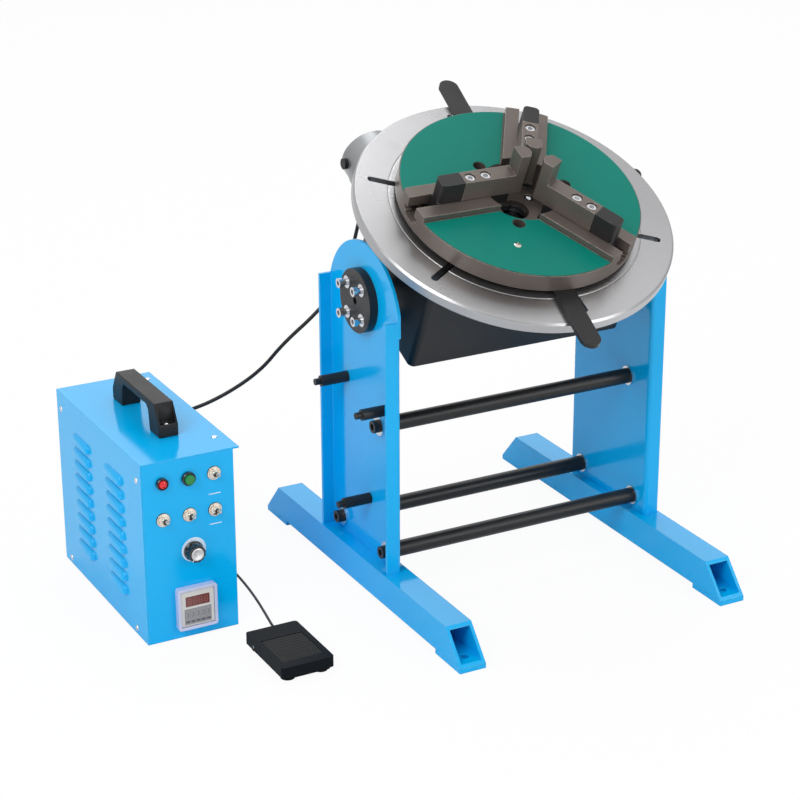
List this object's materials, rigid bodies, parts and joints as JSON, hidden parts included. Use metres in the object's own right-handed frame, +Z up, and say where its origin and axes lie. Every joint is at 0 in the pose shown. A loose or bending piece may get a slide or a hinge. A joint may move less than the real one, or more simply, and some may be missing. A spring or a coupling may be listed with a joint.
{
  "type": "welding positioner",
  "caption": "Bench welding positioner: tilting motor head turns a slotted table with a scroll chuck between two uprights; control box and foot pedal on cords",
  "frame": {"origin": "floor level, in the middle of the rectangle of the four floor anchor holes", "axes": "+X to the right along the tie rods and the tilt axis, +Y back along the feet, +Z up"},
  "size_m": [0.7415, 0.5995, 0.5872],
  "materials": {
    "blue_paint": "gloss powder coat",
    "black_paint": "satin black paint",
    "green_paint": "smooth teal green paint",
    "black_oxide": "black oxide",
    "zinc": "bright zinc plate",
    "turned_steel": "fine turned rings",
    "phosphated_iron": "brown-grey phosphate, ground edges",
    "bearing_steel": "ground and polished",
    "bronze": "cast bronze, cut teeth",
    "motor_grey": "cast and turned aluminium",
    "black_plastic": "fine grain",
    "black_rubber": "smooth cord jacket",
    "switch_chrome": "nickel plate",
    "red_lens": "clear red lens",
    "green_button": "gloss green",
    "timer_plastic": "clear cover over grey and black",
    "insulation": "varnished core and winding"
  },
  "bodies": {
    "stand": {"left_foot": "blue_paint", "right_foot": "blue_paint", "foot_pads": "blue_paint", "left_upright": "blue_paint", "right_upright": "blue_paint", "tie_rods": "black_oxide", "tie_rod_washers": "zinc", "tie_rod_bolts": "black_oxide", "cable_pegs": "black_oxide", "bearing_flanges": "black_paint", "flange_bolts": "zinc", "flange_nuts": "zinc", "control_chassis": "blue_paint", "control_cover": "blue_paint", "carry_handle": "black_plastic", "panel_bezels": "switch_chrome", "pilot_lens": "red_lens", "switch_bodies": "black_plastic", "timer": "timer_plastic", "power_inlet": "black_plastic", "cord_glands": "black_plastic", "transformer": "insulation", "pedal_base": "black_plastic", "pedal_pin": "zinc", "motor_cord": "black_rubber", "pedal_cord": "black_rubber"},
    "tilt_lock": {"tilt_lock": "black_paint"},
    "head": {"head_housing": "black_paint", "head_cover": "black_paint", "trunnions": "bearing_steel", "spindle_bearings": "bearing_steel", "gearbox": "motor_grey", "motor_body": "motor_grey", "brush_caps": "black_plastic", "motor_gland": "black_plastic"},
    "worm": {"worm": "bearing_steel"},
    "table": {"table_plate": "turned_steel", "spindle": "bearing_steel", "spindle_nut": "black_oxide", "worm_wheel": "bronze", "hub_ring": "turned_steel", "table_bolts": "black_oxide", "chuck_body": "phosphated_iron", "chuck_bolts": "black_oxide", "sector_plates": "green_paint"},
    "scroll": {"scroll_ring": "phosphated_iron", "scroll_levers": "black_oxide"},
    "jaw_1": {"master_jaw_1": "phosphated_iron", "top_jaw_1": "phosphated_iron"},
    "jaw_2": {"master_jaw_2": "phosphated_iron", "top_jaw_2": "phosphated_iron"},
    "jaw_3": {"master_jaw_3": "phosphated_iron", "top_jaw_3": "phosphated_iron"},
    "reset_button": {"reset_button": "green_button"},
    "speed_knob": {"speed_knob": "black_plastic"},
    "toggle_lever_1": {"toggle_lever_1": "switch_chrome"},
    "toggle_lever_2": {"toggle_lever_2": "switch_chrome"},
    "toggle_lever_3": {"toggle_lever_3": "switch_chrome"},
    "toggle_lever_4": {"toggle_lever_4": "switch_chrome"},
    "treadle": {"pedal_treadle": "black_plastic"}
  },
  "joints": [
    {"name": "head_tilt", "type": "hinge", "parent": "stand", "child": "head", "pos_m": [0, 0.013, 0.375], "axis": [1, 0, 0], "range_deg": [-26.2, 63.8], "deforming": ["motor_cord"]},
    {"name": "tilt_lock_turn", "type": "hinge", "parent": "stand", "child": "tilt_lock", "pos_m": [0, 0.013, 0.375], "axis": [1, 0, 0], "range_deg": [-60, 45]},
    {"name": "table_turn", "type": "hinge", "parent": "head", "child": "table", "pos_m": [0, 0.013, 0.375], "axis": [0, -0.4415, 0.8973], "continuous": true},
    {"name": "worm_turn", "type": "hinge", "parent": "head", "child": "worm", "pos_m": [-0.092, -0.00819, 0.41807], "axis": [0, 0.8973, 0.4415], "continuous": true},
    {"name": "scroll_turn", "type": "hinge", "parent": "table", "child": "scroll", "pos_m": [0, 0.013, 0.375], "axis": [0, -0.4415, 0.8973], "range_deg": [-60, 900]},
    {"name": "jaw_1_slide", "type": "slide", "parent": "table", "child": "jaw_1", "axis": [0.5, 0.777, 0.3824], "range_m": [-0.002, 0.03]},
    {"name": "jaw_2_slide", "type": "slide", "parent": "table", "child": "jaw_2", "axis": [-1, 0, 0], "range_m": [-0.002, 0.03]},
    {"name": "jaw_3_slide", "type": "slide", "parent": "table", "child": "jaw_3", "axis": [0.5, -0.777, -0.3824], "range_m": [-0.002, 0.03]},
    {"name": "reset_press", "type": "slide", "parent": "stand", "child": "reset_button", "axis": [0, 1, 0], "range_m": [0, 0.002], "stiffness_N_per_m": 600, "springref_m": -0.002},
    {"name": "speed_turn", "type": "hinge", "parent": "stand", "child": "speed_knob", "pos_m": [-0.433, -0.033, 0.112], "axis": [0, 1, 0], "range_deg": [-150, 120]},
    {"name": "toggle_1_throw", "type": "hinge", "parent": "stand", "child": "toggle_lever_1", "pos_m": [-0.403, -0.031, 0.2065], "axis": [1, 0, 0], "range_deg": [0, 26]},
    {"name": "toggle_2_throw", "type": "hinge", "parent": "stand", "child": "toggle_lever_2", "pos_m": [-0.4695, -0.031, 0.1595], "axis": [1, 0, 0], "range_deg": [0, 26]},
    {"name": "toggle_3_throw", "type": "hinge", "parent": "stand", "child": "toggle_lever_3", "pos_m": [-0.436, -0.031, 0.1595], "axis": [1, 0, 0], "range_deg": [0, 26]},
    {"name": "toggle_4_throw", "type": "hinge", "parent": "stand", "child": "toggle_lever_4", "pos_m": [-0.403, -0.031, 0.1595], "axis": [1, 0, 0], "range_deg": [0, 26]},
    {"name": "treadle_press", "type": "hinge", "parent": "stand", "child": "treadle", "pos_m": [-0.3612, -0.1074, 0.0105], "axis": [1, 0, 0], "range_deg": [0, 4], "stiffness_Nm_per_rad": 5, "springref_deg": -4.01}
  ],
  "couplings": [
    {"joint": "worm_turn", "follows": "table_turn", "ratio": 60},
    {"joint": "jaw_1_slide", "follows": "scroll_turn", "m_per_rad": 0.0019098},
    {"joint": "jaw_2_slide", "follows": "scroll_turn", "m_per_rad": 0.0019098},
    {"joint": "jaw_3_slide", "follows": "scroll_turn", "m_per_rad": 0.0019098}
  ]
}
